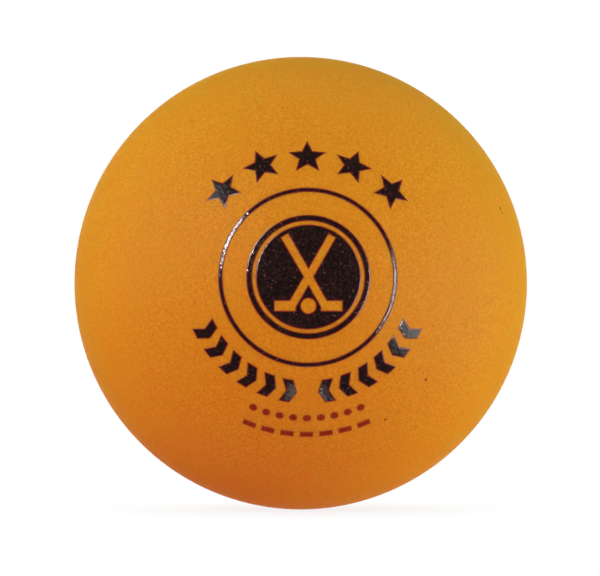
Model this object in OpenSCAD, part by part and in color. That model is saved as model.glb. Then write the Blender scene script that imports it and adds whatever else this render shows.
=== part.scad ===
// Street hockey ball: two moulded PVC half shells that lap at the equator and are
// cemented there, with a pad-printed badge on the front half.
// Millimetres, +Z up, origin at the ball's centre, print facing -Y.

/* [Ball] */
// Outside diameter of the ball
ball_d = 66; // [58:0.5:76]
// Wall thickness of both half shells
wall_t = 4.8; // [3.6:0.1:7]

/* [Seam] */
// How far the front half's tongue reaches into the rear half
lap_len = 3; // [1.5:0.1:5]
// Thickness of the tongue
tongue_t = 2.2; // [1.2:0.1:2.6]
// Thickness of the cement between the halves
cement_t = 0.2; // [0.1:0.05:0.4]
// How far the cement stops short of the outside, as a fine groove
groove_depth = 0.2; // [0.1:0.05:0.4]
// Chamfer that breaks both outer rims at the seam
rim_break = 0.15; // [0.05:0.05:0.3]
// Radius of the bead of cement squeezed out inside the ball
bead_r = 0.7; // [0.4:0.1:1.2]

/* [Print layout] */
// Thickness of the ink
ink_t = 0.08; // [0.05:0.01:0.15]
// Distance over the surface from the print's centre to the badge's outer edge
badge_reach = 8.6; // [7.6:0.1:9.8]
// Clear gap between the badge and the ring line
ring_gap = 3.3; // [1.5:0.1:5]
// Width of the ring line
ring_w = 0.7; // [0.4:0.1:1.2]
// Clear gap between the ring and the rows of marks next to it
row_gap = 2; // [1:0.1:3]
// Clear gap between the rows of small marks
line_gap = 1.8; // [1:0.1:2.5]

/* [Badge] */
// Width of the badge's border line
border_w = 0.9; // [0.5:0.1:1.2]
// Gap between the border and the badge's solid middle
border_gap = 0.45; // [0.3:0.05:0.7]
// Ink left between the sticks and the edge of the badge's middle
stick_margin = 0.7; // [0.4:0.1:1.2]
// Width of a stick's shaft
shaft_w = 1; // [0.7:0.1:1.3]
// Lean of each stick from upright, in degrees
stick_lean = 30; // [26:1:38]
// Length of a blade from its heel to its toe
blade_len = 2.8; // [2:0.1:3.2]
// Height of a blade
blade_h = 1.3; // [0.9:0.1:1.6]
// Ink left between the small ball and the sticks beside it
badge_ball_gap = 0.7; // [0.5:0.05:0.9]

/* [Rows of marks] */
// Number of stars in the upper row
star_count = 5; // [3:1:7]
// Radius of a star at its points
star_r = 2.8; // [2:0.1:3.2]
// Radius of a star between its points
star_waist_r = 1.25; // [0.9:0.05:1.6]
// Clear gap between neighbouring stars
star_gap = 0.8; // [0.4:0.1:2]
// Number of chevrons on each side of the lower row
chevron_count = 6; // [3:1:7]
// Height of a chevron across its row
chevron_h = 3.6; // [2.4:0.1:4.4]
// Width of a chevron's arm along its row
chevron_w = 1.6; // [1:0.1:1.8]
// How far a chevron's point leads its ends
chevron_lead = 0.8; // [0.4:0.1:1]
// Clear gap between neighbouring chevrons
chevron_gap = 1.3; // [0.8:0.1:2]
// Clear gap in the middle of the lower row
chevron_middle_gap = 2.8; // [1.5:0.1:4]
// Number of dots in the first small row
dot_count = 9; // [5:1:13]
// Diameter of a dot
dot_d = 1.2; // [0.8:0.1:1.5]
// Clear gap between neighbouring dots
dot_gap = 0.7; // [0.4:0.1:1.2]
// Number of dashes in the second small row
dash_count = 7; // [5:1:9]
// Length of a dash along its row
dash_len = 1.9; // [1.2:0.1:2.1]
// Height of a dash across its row
dash_h = 1; // [0.6:0.1:1.4]
// Clear gap between neighbouring dashes
dash_gap = 0.8; // [0.4:0.1:1.4]

/* [Hidden] */
$fn = 180;

vinyl_orange = "#d48a26";
cement_orange = "#c9761c";
ink_black = "#1d1715";
ink_maroon = "#6e1f16";

ball_r = ball_d / 2;
cavity_r = ball_r - wall_t;
tongue_r = cavity_r + tongue_t;
rebate_r = tongue_r + cement_t;
rebate_depth = lap_len + cement_t;

// Places of the printed marks, as distances over the surface from the print's centre
disc_reach = badge_reach - border_w - border_gap;
ring_reach = badge_reach + ring_gap;
rows_reach = ring_reach + ring_w + row_gap;
star_reach = rows_reach + star_r;
chevron_reach = rows_reach + chevron_h / 2;
dot_reach = rows_reach + chevron_h + line_gap + dot_d / 2;
dash_reach = dot_reach + dot_d / 2 + line_gap + dash_h / 2;

// The sticks' butts and toes lie on a circle inside the badge's middle
stick_r = flat_r(disc_reach) - stick_margin;
toe = [blade_len - shaft_w / 2, blade_h / 2];
toe_along = toe.x * sin(stick_lean) + toe.y * cos(stick_lean);
shaft_up = sqrt(stick_r ^ 2 - (shaft_w / 2) ^ 2);
shaft_down = sqrt(toe_along ^ 2 - toe * toe + stick_r ^ 2) - toe_along;
heel = shaft_down * [sin(stick_lean), -cos(stick_lean)];
badge_ball_r = heel.x - shaft_w / 2 / cos(stick_lean) - badge_ball_gap;

star_points = 5;

// Where the rows lie round the print's axis, in degrees clockwise from the top
row_up = 0;
row_down = 180;

// Angle at the ball's centre for a distance over its surface
function tilt(reach) = reach / ball_r * 180 / PI;

// Straight distance from the print's axis for a distance over the surface
function flat_r(reach) = ball_r * sin(tilt(reach));

// Angle round the print's axis for a distance along a row of marks
function around(reach, along) = along / flat_r(reach) * 180 / PI;

// Everything is drawn about +Z, and faces the front from here
module face_front() {
    rotate([90, 0, 0]) children();
}

// Cross-sections of the shells, in the plane of radius and height

module wall_outline() {
    difference() {
        circle(ball_r);
        circle(cavity_r);
    }
}

module rim_cut(height) {
    translate([ball_r, height]) rotate(45) square(rim_break * sqrt(2), center = true);
}

module front_outline() {
    difference() {
        union() {
            intersection() {
                wall_outline();
                square(ball_r);
            }
            translate([cavity_r, -lap_len]) square([tongue_t, lap_len]);
        }
        rim_cut(0);
    }
}

module rear_outline() {
    difference() {
        intersection() {
            wall_outline();
            translate([0, -ball_r]) square([ball_r, ball_r - cement_t]);
        }
        translate([0, -rebate_depth]) square([rebate_r, rebate_depth]);
        rim_cut(-cement_t);
    }
}

module cement_outline() {
    // Between the outer rims
    translate([tongue_r, -cement_t]) square([ball_r - groove_depth - tongue_r, cement_t]);
    // Between the tongue and its rebate
    translate([tongue_r, -rebate_depth]) square([cement_t, rebate_depth]);
    // Under the tongue's end
    translate([cavity_r, -rebate_depth]) square([tongue_t, cement_t]);
    // Bead on the inside of the ball
    difference() {
        translate([cavity_r, -lap_len - cement_t / 2]) circle(bead_r);
        front_outline();
        rear_outline();
    }
}

// Shells and cement

module front_half_shell() {
    color(vinyl_orange) face_front() rotate_extrude() front_outline();
}

module rear_half_shell() {
    color(vinyl_orange) face_front() rotate_extrude() rear_outline();
}

module seam_cement() {
    color(cement_orange) face_front() rotate_extrude() cement_outline();
}

// Ink on the ball

module ink_skin() {
    difference() {
        sphere(ball_r + ink_t);
        sphere(ball_r);
    }
}

// A line of ink all round the print's axis
module ink_band(inner_reach, outer_reach) {
    far = 2 * ball_r;
    inner = tilt(inner_reach);
    outer = tilt(outer_reach);
    rotate_extrude() intersection() {
        difference() {
            circle(ball_r + ink_t);
            circle(ball_r);
        }
        polygon([[0, 0], far * [sin(outer), cos(outer)], far * [sin(inner), cos(inner)]]);
    }
}

// A flat outline laid on the ball, with its own +Y pointing away from the print's centre
module ink_mark(reach = 0, turn = 0) {
    intersection() {
        ink_skin();
        rotate([0, 0, -turn]) rotate([-tilt(reach), 0, 0])
            linear_extrude(2 * ball_r) children();
    }
}

// Copies of an outline side by side, centred on the print's upper or lower side
module ink_row(reach, count, width, gap, side) {
    step = around(reach, width + gap);
    for (i = [0 : count - 1]) ink_mark(reach, side + (i - (count - 1) / 2) * step) children();
}

// Outlines of the marks

module stick_outline() {
    rotate(stick_lean) translate([-shaft_w / 2, -shaft_down]) square([shaft_w, shaft_down + shaft_up]);
    translate(heel - [shaft_w / 2, blade_h / 2]) square([blade_len, blade_h]);
}

module badge_outline() {
    difference() {
        circle(flat_r(disc_reach));
        stick_outline();
        mirror([1, 0]) stick_outline();
        translate([0, heel.y]) circle(badge_ball_r);
    }
}

module star_outline() {
    corner = 180 / star_points;
    polygon([
        for (i = [0 : 2 * star_points - 1])
            (i % 2 == 0 ? star_r : star_waist_r) * [sin(i * corner), cos(i * corner)]
    ]);
}

module chevron_outline() {
    tail = -(chevron_w + chevron_lead) / 2;
    polygon([
        [tail, -chevron_h / 2],
        [tail + chevron_w, -chevron_h / 2],
        [tail + chevron_w + chevron_lead, 0],
        [tail + chevron_w, chevron_h / 2],
        [tail, chevron_h / 2],
        [tail + chevron_lead, 0],
    ]);
}

// Printed pieces

module ring_print() {
    color(ink_black) face_front() ink_band(ring_reach, ring_reach + ring_w);
}

module badge_border_print() {
    color(ink_black) face_front() ink_band(badge_reach - border_w, badge_reach);
}

module badge_print() {
    color(ink_black) face_front() ink_mark() badge_outline();
}

module star_row_print() {
    color(ink_black) face_front()
        ink_row(star_reach, star_count, 2 * star_r, star_gap, row_up) star_outline();
}

module chevron_row_print() {
    first = (chevron_middle_gap + chevron_w + chevron_lead) / 2;
    color(ink_black) face_front() for (side = [0, 1], i = [0 : chevron_count - 1]) {
        turn = around(chevron_reach, first + i * (chevron_w + chevron_gap));
        mirror([side, 0, 0]) ink_mark(chevron_reach, row_down - turn) chevron_outline();
    }
}

module dot_row_print() {
    color(ink_maroon) face_front()
        ink_row(dot_reach, dot_count, dot_d, dot_gap, row_down) circle(d = dot_d);
}

module dash_row_print() {
    color(ink_maroon) face_front()
        ink_row(dash_reach, dash_count, dash_len, dash_gap, row_down)
            square([dash_len, dash_h], center = true);
}

front_half_shell();
rear_half_shell();
seam_cement();
ring_print();
badge_border_print();
badge_print();
star_row_print();
chevron_row_print();
dot_row_print();
dash_row_print();
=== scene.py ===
"""A street hockey ball of soft orange PVC with a printed front, in metres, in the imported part's frame."""
import math

import bmesh
import bpy
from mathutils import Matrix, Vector


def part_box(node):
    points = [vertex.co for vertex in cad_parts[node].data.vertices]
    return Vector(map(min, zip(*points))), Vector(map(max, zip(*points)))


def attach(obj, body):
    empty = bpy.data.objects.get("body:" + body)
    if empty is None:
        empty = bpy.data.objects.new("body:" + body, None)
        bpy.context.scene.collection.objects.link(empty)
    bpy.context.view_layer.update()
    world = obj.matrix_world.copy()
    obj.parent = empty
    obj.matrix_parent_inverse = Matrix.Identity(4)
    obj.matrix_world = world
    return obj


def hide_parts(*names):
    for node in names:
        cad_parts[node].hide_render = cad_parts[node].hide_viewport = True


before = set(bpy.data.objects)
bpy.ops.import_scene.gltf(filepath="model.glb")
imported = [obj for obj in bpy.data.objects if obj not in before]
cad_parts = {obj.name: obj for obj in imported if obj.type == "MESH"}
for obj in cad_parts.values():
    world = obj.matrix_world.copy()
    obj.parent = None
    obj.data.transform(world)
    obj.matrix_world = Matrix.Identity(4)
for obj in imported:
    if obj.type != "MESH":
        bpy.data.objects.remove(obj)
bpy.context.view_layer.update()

# Front half shell
# One half of the ball, injection moulded in soft orange PVC about 5 mm thick. A tongue round its rim
# slides into the other half, and its outer edge is broken, so that the seam shows as a fine groove.

mm = 0.001
weld = 0.0005 * mm
ball_axis = (0, 1, 0)
centre = (0, 0, 0)
arc_steps = 96
turn_steps = 256


def radii_at(node, height):
    """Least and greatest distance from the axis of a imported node's points at a height along it."""
    same_height = 0.01 * mm
    points = [v.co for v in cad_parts[node].data.vertices]
    across = [math.hypot(p.x, p.z) for p in points if abs(p.y - height) < same_height]
    return min(across), max(across)


front_low, front_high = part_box("front_half_shell")
ball_r = -front_low.y
lap = front_high.y
cavity_r, tongue_r = radii_at("front_half_shell", lap)
rim_r = radii_at("front_half_shell", 0)[1]
rim_break = ball_r - rim_r


def draw_arc(bm, start, angle, steps):
    """Draws an outline on from a point, round the ball's centre, and gives its new end."""
    drawn = bmesh.ops.spin(bm, geom=[start], cent=centre, axis=(0, 0, 1), angle=angle, steps=steps)
    return next(item for item in drawn["geom_last"] if isinstance(item, bmesh.types.BMVert))


def draw_lines(bm, start, *corners):
    """Draws an outline on through corners, each a distance from the axis and a height along it."""
    for across, height in corners:
        drawn = bmesh.ops.extrude_vert_indiv(bm, verts=[start])
        start = drawn["verts"][0]
        start.co = (across, height, 0)
    return start


def turn_shell(bm):
    """Turns an outline once round the ball's axis, closes its poles and eases its corners."""
    corner_ease = 0.04 * mm
    corner_angle = math.radians(25)
    outline = bm.verts[:] + bm.edges[:]
    bmesh.ops.spin(
        bm, geom=outline, cent=centre, axis=ball_axis, angle=math.tau, steps=turn_steps, use_merge=True
    )
    bmesh.ops.remove_doubles(bm, verts=bm.verts, dist=weld)
    bmesh.ops.recalc_face_normals(bm, faces=bm.faces)
    corners = [edge for edge in bm.edges if edge.calc_face_angle(0) > corner_angle]
    bmesh.ops.bevel(
        bm, geom=corners, offset=corner_ease, segments=2, profile=0.5, affect="EDGES", material=-1
    )


def make_piece(bm, name, material, node):
    """Makes a smooth piece of a mesh, with the finish of a slot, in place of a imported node."""
    for face in bm.faces:
        face.smooth = True
    mesh = bpy.data.meshes.new(name)
    bm.to_mesh(mesh)
    bm.free()
    mesh.materials.append(material)
    piece = bpy.data.objects.new(name, mesh)
    bpy.context.scene.collection.objects.link(piece)
    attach(piece, "root")
    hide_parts(node)


def new_material(name):
    """A material with an empty node tree but for its output."""
    material = bpy.data.materials.new(name)
    material.use_nodes = True
    for node in list(material.node_tree.nodes):
        if node.type != "OUTPUT_MATERIAL":
            material.node_tree.nodes.remove(node)
    return material


def show(material, shader):
    """Links a shader to its material's output."""
    tree = material.node_tree
    tree.links.new(shader.outputs[0], tree.nodes["Material Output"].inputs["Surface"])


def put(tree, socket, value):
    """Links a socket to another node's output, or sets its own value."""
    if isinstance(value, bpy.types.NodeSocket):
        tree.links.new(value, socket)
    else:
        socket.default_value = value


def add_node(tree, kind, inputs, **settings):
    """A shader node with its settings, and its inputs set or linked by name or number."""
    node = tree.nodes.new("ShaderNode" + kind)
    for name, value in settings.items():
        setattr(node, name, value)
    for name, value in inputs.items():
        put(tree, node.inputs[name], value)
    return node


def mix_colours(tree, share, first, second):
    """A colour that goes from the first to the second as a share goes from 0 to 1."""
    node = add_node(tree, "Mix", {0: share, 6: first, 7: second}, data_type="RGBA")
    return node.outputs[2]


def noise(tree, place, size, detail=2.0, roughness=0.5):
    """A soft random pattern whose lumps are about a given size across."""
    inputs = {"Vector": place, "Scale": 1 / size, "Detail": detail, "Roughness": roughness}
    return add_node(tree, "TexNoise", inputs).outputs["Fac"]


def ramp(tree, value, start, end, low=0.0, high=1.0):
    """A value stretched smoothly from one range to another, and held at its ends."""
    inputs = {"Value": value, 1: start, 2: end, 3: low, 4: high}
    return add_node(tree, "MapRange", inputs, interpolation_type="SMOOTHSTEP").outputs[0]


def toward(right, up):
    """The direction that lies degrees to the right of the ball's front and above its middle."""
    across, rise = math.radians(right), math.radians(up)
    level = math.cos(rise)
    return Vector((math.sin(across) * level, -math.cos(across) * level, math.sin(rise)))


vinyl_orange = (0.645, 0.271, 0.0094, 1)
vinyl_pale = (0.75, 0.348, 0.0174, 1)
vinyl_deep = (0.545, 0.198, 0.0042, 1)
speck_brown = (0.16, 0.037, 0.0105, 1)
speck_pale = (0.85, 0.35, 0.075, 1)
fleck_brown = (0.4, 0.12, 0.009, 1)
grain_size = 0.34 * mm
grain_range = (0.3, 0.7)
cloud_size = 9 * mm
cloud_range = (0.35, 0.65)
pit_size = 0.5 * mm
pit_depth = 0.014 * mm
fleck_gap = 3 * mm
fleck_r = 0.2 * mm

# Dark specks of dirt and small pale specks: degrees right of the print's centre and above it, and radius
dark_specks = [
    (33.7, -25.2, 0.26 * mm),
    (24.4, -36.4, 0.24 * mm),
    (63.2, 18.2, 0.34 * mm),
    (63.6, 17.0, 0.24 * mm),
    (36.7, 17.4, 0.12 * mm),
    (-57.3, 35.7, 0.16 * mm),
    (-59.5, 16.8, 0.16 * mm),
    (-40.7, 42.4, 0.14 * mm),
    (-118, 24, 0.25 * mm),
    (-152, -14, 0.2 * mm),
    (139, 33, 0.28 * mm),
    (171, -31, 0.22 * mm),
    (104, -8, 0.2 * mm),
]
pale_specks = [
    (59.5, 47.6, 0.3 * mm),
    (63.0, 20.6, 0.25 * mm),
    (29.0, -58.1, 0.2 * mm),
    (-131, 41, 0.3 * mm),
    (158, 7, 0.25 * mm),
]


def spots(tree, place, specks):
    """A share that is 1 within the specks and falls to 0 at their edges."""
    share = 0.0
    for right, up, radius in specks:
        inputs = {0: place, 1: ball_r * toward(right, up)}
        away = add_node(tree, "VectorMath", inputs, operation="DISTANCE").outputs["Value"]
        spot = ramp(tree, away, 0.5 * radius, radius, 1.0, 0.0)
        share = add_node(tree, "Math", {0: share, 1: spot}, operation="MAXIMUM").outputs[0]
    return share


def flecks(tree, place):
    """A share that is 1 within tiny flecks strewn at random, of random sizes."""
    cell = add_node(tree, "TexVoronoi", {"Vector": place, "Scale": 1 / fleck_gap}).outputs
    chance = add_node(tree, "SeparateColor", {0: cell["Color"]}).outputs[0]
    radius = ramp(tree, chance, 0.2, 1.0, 0.1 * fleck_r / fleck_gap, fleck_r / fleck_gap)
    near = add_node(tree, "Math", {0: cell["Distance"], 1: radius}, operation="DIVIDE").outputs[0]
    return ramp(tree, near, 0.5, 1.0, 1.0, 0.0)


def vinyl_material():
    """Satin moulded PVC with a fine grain, faint clouds of pigment, strewn flecks and a few specks."""
    material = new_material("orange_vinyl")
    tree = material.node_tree
    place = add_node(tree, "TexCoord", {}).outputs["Object"]
    grain = noise(tree, place, grain_size)
    cloud = noise(tree, place, cloud_size)
    grained = mix_colours(tree, ramp(tree, grain, *grain_range), vinyl_deep, vinyl_pale)
    colour = mix_colours(tree, ramp(tree, cloud, *cloud_range, 0.35, 0.6), grained, vinyl_orange)
    colour = mix_colours(tree, flecks(tree, place), colour, fleck_brown)
    colour = mix_colours(tree, spots(tree, place, pale_specks), colour, speck_pale)
    colour = mix_colours(tree, spots(tree, place, dark_specks), colour, speck_brown)
    relief = noise(tree, place, pit_size, 3.0)
    bump = add_node(tree, "Bump", {"Height": relief, "Distance": pit_depth, "Strength": 0.6})
    shader = add_node(tree, "BsdfPrincipled", {
        "Base Color": colour,
        "Roughness": ramp(tree, grain, *grain_range, 0.46, 0.6),
        "Normal": bump.outputs["Normal"],
        "Specular IOR Level": 0.1,
        "Subsurface Weight": 1.0,
        "Subsurface Radius": (1.0, 0.3, 0.1),
        "Subsurface Scale": 1 * mm,
    })
    show(material, shader)
    return material


vinyl = vinyl_material()

bm = bmesh.new()
pole = bm.verts.new((0, -ball_r, 0))
end = draw_arc(bm, pole, math.acos(rim_break / ball_r), arc_steps)
end = draw_lines(bm, end, (rim_r, 0), (tongue_r, 0), (tongue_r, lap), (cavity_r, lap), (cavity_r, 0))
draw_arc(bm, end, -math.pi / 2, arc_steps // 2)
turn_shell(bm)
make_piece(bm, "front_shell", vinyl, "front_half_shell")

# Seam cement
# The thin film of solvent cement that holds the halves together, seen only as the floor of the groove.
# It fills the lap, stops just short of the outside and squeezes out as a bead inside the ball.

cement_amber = (0.5, 0.125, 0.012, 1)
cement_dark = (0.36, 0.074, 0.009, 1)
streak_size = 1.5 * mm
streak_range = (0.35, 0.65)


def cement_material():
    """Dried amber cement, streaky and a little glossy."""
    material = new_material("amber_cement")
    tree = material.node_tree
    place = add_node(tree, "TexCoord", {}).outputs["Object"]
    streaks = noise(tree, place, streak_size, 3.0)
    bump = add_node(tree, "Bump", {"Height": streaks, "Distance": pit_depth, "Strength": 0.5})
    shader = add_node(tree, "BsdfPrincipled", {
        "Base Color": mix_colours(tree, ramp(tree, streaks, *streak_range), cement_dark, cement_amber),
        "Roughness": ramp(tree, streaks, *streak_range, 0.3, 0.5),
        "Normal": bump.outputs["Normal"],
        "Specular IOR Level": 0.4,
    })
    show(material, shader)
    return material


cement_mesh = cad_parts["seam_cement"].data
cement_mesh.materials.clear()
cement_mesh.materials.append(cement_material())

# Rear half shell
# The other half of the ball, moulded in the same vinyl and left plain. A rebate inside its rim takes the
# front half's tongue with its cement, and the outer edges of both halves meet at the groove.

rear_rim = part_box("rear_half_shell")[0].y
rebate_r = radii_at("rear_half_shell", rear_rim)[0]
rebate_floor = lap + rear_rim
floor_r = math.sqrt(cavity_r**2 - rebate_floor**2)

bm = bmesh.new()
pole = bm.verts.new((0, ball_r, 0))
end = draw_arc(bm, pole, -math.acos((rear_rim + rim_break) / ball_r), arc_steps)
end = draw_lines(bm, end, (rim_r, rear_rim), (rebate_r, rear_rim))
end = draw_lines(bm, end, (rebate_r, rebate_floor), (floor_r, rebate_floor))
draw_arc(bm, end, math.acos(rebate_floor / cavity_r), arc_steps // 2)
turn_shell(bm)
make_piece(bm, "rear_shell", vinyl, "rear_half_shell")

# Black print
# Marks pad-printed in glossy black ink: a ring line, a badge with its border, a row of stars and a row of
# chevrons. The dried ink is a thin film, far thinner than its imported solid, and its edge slopes down to the
# vinyl, where it lets some red through.

ink_rim = 0.22 * mm
ink_cell = 0.55 * mm
ink_dry = 0.025 * mm
rim_cuts = 2
straight = math.radians(1)
print_side = (0, -1, 0)


def grid_cuts(low, high, step):
    """Places of evenly spaced cuts between two ends."""
    return [step * i for i in range(math.ceil(low / step), math.floor(high / step) + 1)]


def lay_film(node):
    """A film of ink over a packed film's outline, with a sloped rim and an underside on the shell."""
    bm = bmesh.new()
    bm.from_mesh(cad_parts[node].data)
    bmesh.ops.remove_doubles(bm, verts=bm.verts, dist=weld)
    half_way = (ball_r + max(vert.co.length for vert in bm.verts)) / 2
    below = [f for f in bm.faces if min(v.co.length for v in f.verts) < half_way]
    bmesh.ops.delete(bm, geom=below, context="FACES")
    bmesh.ops.delete(bm, geom=bm.faces[:], context="FACES_KEEP_BOUNDARY")

    # The outline is laid flat, filled, and given a rim whose share is 1 at the ink's edge and 0 inside
    for vert in bm.verts:
        vert.co.y = 0
    bmesh.ops.dissolve_limit(bm, angle_limit=straight, verts=bm.verts[:], edges=bm.edges[:])
    bmesh.ops.triangle_fill(bm, edges=bm.edges[:], use_beauty=True, normal=print_side)
    bmesh.ops.inset_region(
        bm, faces=bm.faces[:], thickness=ink_rim, use_boundary=True, use_even_offset=True
    )
    share = bm.verts.layers.float.new("ink_edge")
    for vert in bm.verts:
        vert[share] = 1.0 if vert.is_boundary else 0.0
    middle = [f for f in bm.faces if max(v[share] for v in f.verts) == 0]
    bmesh.ops.delete(bm, geom=middle, context="FACES")
    inner = [e for e in bm.edges if max(v[share] for v in e.verts) == 0]
    bmesh.ops.triangle_fill(bm, edges=inner, use_beauty=True, normal=print_side)
    across_rim = [e for e in bm.edges if abs(e.verts[0][share] - e.verts[1][share]) == 1]
    bmesh.ops.subdivide_edges(bm, edges=across_rim, cuts=rim_cuts)

    # It is cut into small cells and bent over the ball
    low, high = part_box(node)
    for axis, start, stop in ((Vector((1, 0, 0)), low.x, high.x), (Vector((0, 0, 1)), low.z, high.z)):
        for place in grid_cuts(start, stop, ink_cell):
            whole = bm.verts[:] + bm.edges[:] + bm.faces[:]
            bmesh.ops.bisect_plane(bm, geom=whole, dist=weld, plane_co=place * axis, plane_no=axis)
    under = bmesh.ops.duplicate(bm, geom=bm.verts[:] + bm.edges[:] + bm.faces[:])["geom"]
    under_verts = {item for item in under if isinstance(item, bmesh.types.BMVert)}
    for vert in bm.verts:
        rise = 0 if vert in under_verts else ink_dry * (1 - vert[share] ** 2)
        reach = ball_r + rise
        vert.co.y = -math.sqrt(reach**2 - vert.co.x**2 - vert.co.z**2)
    outline = [vert for vert in bm.verts if vert.is_boundary]
    bmesh.ops.remove_doubles(bm, verts=outline, dist=weld)
    bmesh.ops.recalc_face_normals(bm, faces=bm.faces)
    for edge in bm.edges:
        edge.smooth = min(vert[share] for vert in edge.verts) < 1
    return bm


ink_black = (0.0045, 0.0018, 0.0012, 1)
ink_brown = (0.032, 0.011, 0.0095, 1)
ink_fringe = (0.22, 0.0117, 0.0051, 1)
# Pale specks in the ink: partly dust, partly painted glints of its grainy skin.
ink_dust_and_glint = (0.11, 0.045, 0.04, 1)
mottle_size = 0.35 * mm
sparkle_size = 0.42 * mm
sparkle_depth = 0.042 * mm
edge_weight = 2.0
mottle_range = (0.4, 0.7)
fringe_range = (0.72, 1.3)
dust_and_glint_range = (0.62, 0.74)
ink_gloss = 0.65


def ink_material(name, body, worn, fringe, gloss):
    """Glossy ink with an uneven skin, mottled, thin and reddish at its edges, and pale specks that are partly
    dust and partly painted glints.
    """
    material = new_material(name)
    tree = material.node_tree
    place = add_node(tree, "TexCoord", {}).outputs["Object"]
    mottle = noise(tree, place, mottle_size, 4.0, 0.6)
    fine = noise(tree, place, sparkle_size, 2.0)
    edge = add_node(tree, "Attribute", {}, attribute_name="ink_edge").outputs["Fac"]
    inputs = {0: edge, 1: edge_weight, 2: fine}
    ragged = add_node(tree, "Math", inputs, operation="MULTIPLY_ADD").outputs[0]
    colour = mix_colours(tree, ramp(tree, mottle, *mottle_range), body, worn)
    colour = mix_colours(tree, ramp(tree, ragged, *fringe_range), colour, fringe)
    # Pale specks where the ink's fine grain peaks: partly dust, partly painted glints.
    colour = mix_colours(tree, ramp(tree, fine, *dust_and_glint_range), colour, ink_dust_and_glint)
    bump = add_node(tree, "Bump", {"Height": fine, "Distance": sparkle_depth, "Strength": 1.0})
    inner = ramp(tree, fine, 0.42, 0.6, 0.06, 0.18)
    outer = ramp(tree, edge, 0.2, 0.8, 0.06, 0.35)
    dull = add_node(tree, "Math", {0: inner, 1: outer}, operation="MAXIMUM").outputs[0]
    shader = add_node(tree, "BsdfPrincipled", {
        "Base Color": colour,
        "Roughness": dull,
        "Normal": bump.outputs["Normal"],
        "Specular IOR Level": gloss,
    })
    show(material, shader)
    return material


black_ink = ink_material("black_ink", ink_black, ink_brown, ink_fringe, ink_gloss)
for mark in ("ring", "badge_border", "badge", "star_row", "chevron_row"):
    make_piece(lay_film(mark + "_print"), mark + "_ink", black_ink, mark + "_print")

# Dark red print
# Two rows of small marks below the chevrons, printed in a thin dark red ink that lets some of the orange
# through: a row of dots and a row of dashes.

maroon_body = (0.235, 0.0183, 0.003, 1)
maroon_worn = (0.32, 0.0335, 0.0044, 1)
maroon_fringe = (0.36, 0.055, 0.0073, 1)
maroon_gloss = 0.35

maroon_ink = ink_material("maroon_ink", maroon_body, maroon_worn, maroon_fringe, maroon_gloss)
for mark in ("dot_row", "dash_row"):
    make_piece(lay_film(mark + "_print"), mark + "_ink", maroon_ink, mark + "_print")

# Floor
# A plain pale board under the ball. The camera sees it white further out, and close to the ball it keeps
# the shadow. The two distances over which it turns white are from the ball's centre.

floor_half = 1.5
floor_pale = (0.82, 0.82, 0.82, 1)
white = (1, 1, 1, 1)
shadow_near = 0.012
shadow_far = 0.05
near_white = 0.6


def seen_directly(tree):
    """A share that is 1 for what a camera, a mirror or a pane sees, and 0 for light that falls."""
    rays = add_node(tree, "LightPath", {}).outputs
    share = rays["Is Camera Ray"]
    for other in ("Is Glossy Ray", "Is Transmission Ray"):
        share = add_node(tree, "Math", {0: share, 1: rays[other]}, operation="MAXIMUM").outputs[0]
    return share


def floor_material():
    """Pale matt board whose far part is plain white to the camera."""
    material = new_material("pale_board")
    tree = material.node_tree
    place = add_node(tree, "TexCoord", {}).outputs["Object"]
    away = add_node(tree, "VectorMath", {0: place}, operation="LENGTH").outputs["Value"]
    far = ramp(tree, away, shadow_near, shadow_far, near_white, 1.0)
    share = add_node(tree, "Math", {0: far, 1: seen_directly(tree)}, operation="MULTIPLY").outputs[0]
    board = add_node(tree, "BsdfDiffuse", {"Color": floor_pale}).outputs[0]
    glow = add_node(tree, "Emission", {"Color": white, "Strength": 1.0}).outputs[0]
    shader = add_node(tree, "MixShader", {0: share, 1: board, 2: glow})
    show(material, shader)
    return material


bm = bmesh.new()
bmesh.ops.create_grid(bm, x_segments=1, y_segments=1, size=floor_half)
bmesh.ops.translate(bm, verts=bm.verts, vec=(0, 0, -ball_r))
floor_mesh = bpy.data.meshes.new("floor")
bm.to_mesh(floor_mesh)
bm.free()
floor_mesh.materials.append(floor_material())
floor = bpy.data.objects.new("floor", floor_mesh)
floor.visible_diffuse = False
floor.visible_glossy = False
floor.visible_shadow = False
bpy.context.scene.collection.objects.link(floor)

# Lamps and surroundings
# Large soft boxes stand at the ball's sides and behind it, and three bare tubes glint in the ink. The soft
# surroundings are near white above and red below, as if from a table that sends back the ball's orange.
# Reflections show a white backdrop straight behind the ball and a dim room elsewhere.


def soft_box(name, right, up, away, width, height, power, colour):
    """A rectangular lamp turned to the ball from a direction and a distance."""
    lamp = bpy.data.lights.new(name, "AREA")
    lamp.shape = "RECTANGLE"
    lamp.size = width
    lamp.size_y = height
    lamp.energy = power
    lamp.color = colour
    stand = bpy.data.objects.new(name, lamp)
    stand.location = away * toward(right, up)
    stand.rotation_euler = (-toward(right, up)).to_track_quat("-Z", "Y").to_euler()
    stand.visible_camera = False
    bpy.context.scene.collection.objects.link(stand)
    return stand


box_tint = (0.9, 1, 0.93)
tube_tint = (1, 0.89, 0.88)
soft_box("left_box", right=-80, up=18, away=0.5, width=0.5, height=0.5, power=1.22, colour=box_tint)
soft_box("right_box", right=80, up=-5, away=0.5, width=0.5, height=0.5, power=1.78, colour=box_tint)
back_box = soft_box(
    "back_box", right=180, up=15, away=0.5, width=0.3, height=0.3, power=1.6, colour=box_tint
)
back_box.visible_glossy = False
soft_box("left_tube", right=-38, up=20, away=0.5, width=0.012, height=0.2, power=1.09, colour=tube_tint)
soft_box("right_tube", right=43, up=-6, away=0.5, width=0.012, height=0.3, power=0.73, colour=tube_tint)
soft_box("low_tube", right=3, up=-57, away=0.4, width=0.09, height=0.008, power=0.05, colour=tube_tint)

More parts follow.
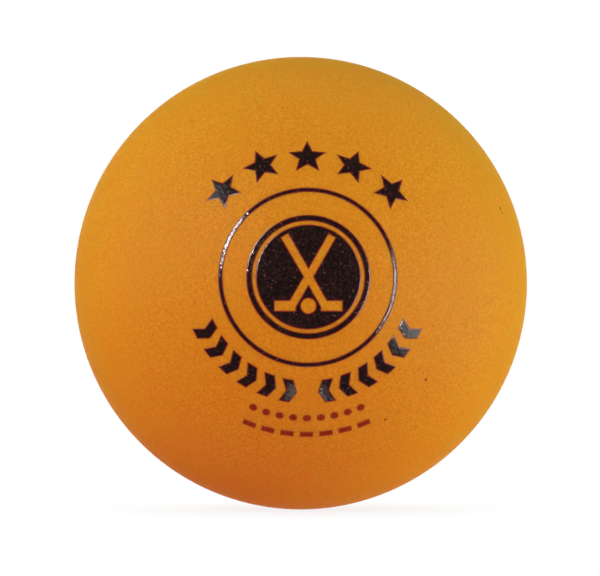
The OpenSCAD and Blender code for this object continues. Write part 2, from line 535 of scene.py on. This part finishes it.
light_above = (0.62, 0.6, 0.56, 1)
light_level = (0.05, 0.05, 0.05, 1)
light_below = (0.86, 0.31, 0.45, 1)
room_dim = (0.07, 0.07, 0.07, 1)
light_top = toward(90, 75)
backdrop_range = (0.88, 1.0)
world = bpy.data.worlds.new("studio")
world.use_nodes = True
tree = world.node_tree
look = add_node(tree, "TexCoord", {}).outputs["Generated"]
rise = add_node(tree, "VectorMath", {0: look, 1: light_top}, operation="DOT_PRODUCT").outputs["Value"]
behind = ramp(tree, add_node(tree, "SeparateXYZ", {0: look}).outputs["Y"], *backdrop_range)
colour = mix_colours(tree, ramp(tree, rise, 0, 1), light_level, light_above)
colour = mix_colours(tree, ramp(tree, rise, 0, -1), colour, light_below)
even = tree.nodes["Background"]
even.inputs["Strength"].default_value = 1.0
tree.links.new(colour, even.inputs["Color"])
from_camera = add_node(tree, "LightPath", {}).outputs["Is Camera Ray"]
backdrop = add_node(tree, "Math", {0: behind, 1: from_camera}, operation="MAXIMUM").outputs[0]
seen = mix_colours(tree, backdrop, room_dim, white)
plain = add_node(tree, "Background", {"Color": seen, "Strength": 1.0})
both = add_node(tree, "MixShader", {0: seen_directly(tree), 1: even.outputs[0], 2: plain.outputs[0]})
tree.links.new(both.outputs[0], tree.nodes["World Output"].inputs["Surface"])
bpy.context.scene.world = world

# Camera
# A long lens in front of the ball and a little low and to the left, so that the print's centre shows just
# right of the disc's middle and above it.

photo_width = 600
photo_height = 576
disc_centre = (300.7, 283.2)
disc_radius = 226.3
lens = 200
sensor = 36
view_right = -1.85
view_up = -1.51

pixels_focal = lens / sensor * photo_width
distance = ball_r / math.sin(math.atan(disc_radius / pixels_focal))
pixel = distance / pixels_focal
back = toward(view_right, view_up)
sideways = Vector((0, 0, 1)).cross(back).normalized()
upward = back.cross(sideways)
off_right = photo_width / 2 - disc_centre[0]
off_down = photo_height / 2 - disc_centre[1]
aim = pixel * (off_right * sideways - off_down * upward)

camera_data = bpy.data.cameras.new("camera")
camera_data.lens = lens
camera_data.sensor_width = sensor
camera = bpy.data.objects.new("camera", camera_data)
camera.location = distance * back
camera.rotation_euler = (aim - camera.location).to_track_quat("-Z", "Y").to_euler()
bpy.context.scene.collection.objects.link(camera)
bpy.context.scene.camera = camera
bpy.context.scene.view_settings.view_transform = "Standard"
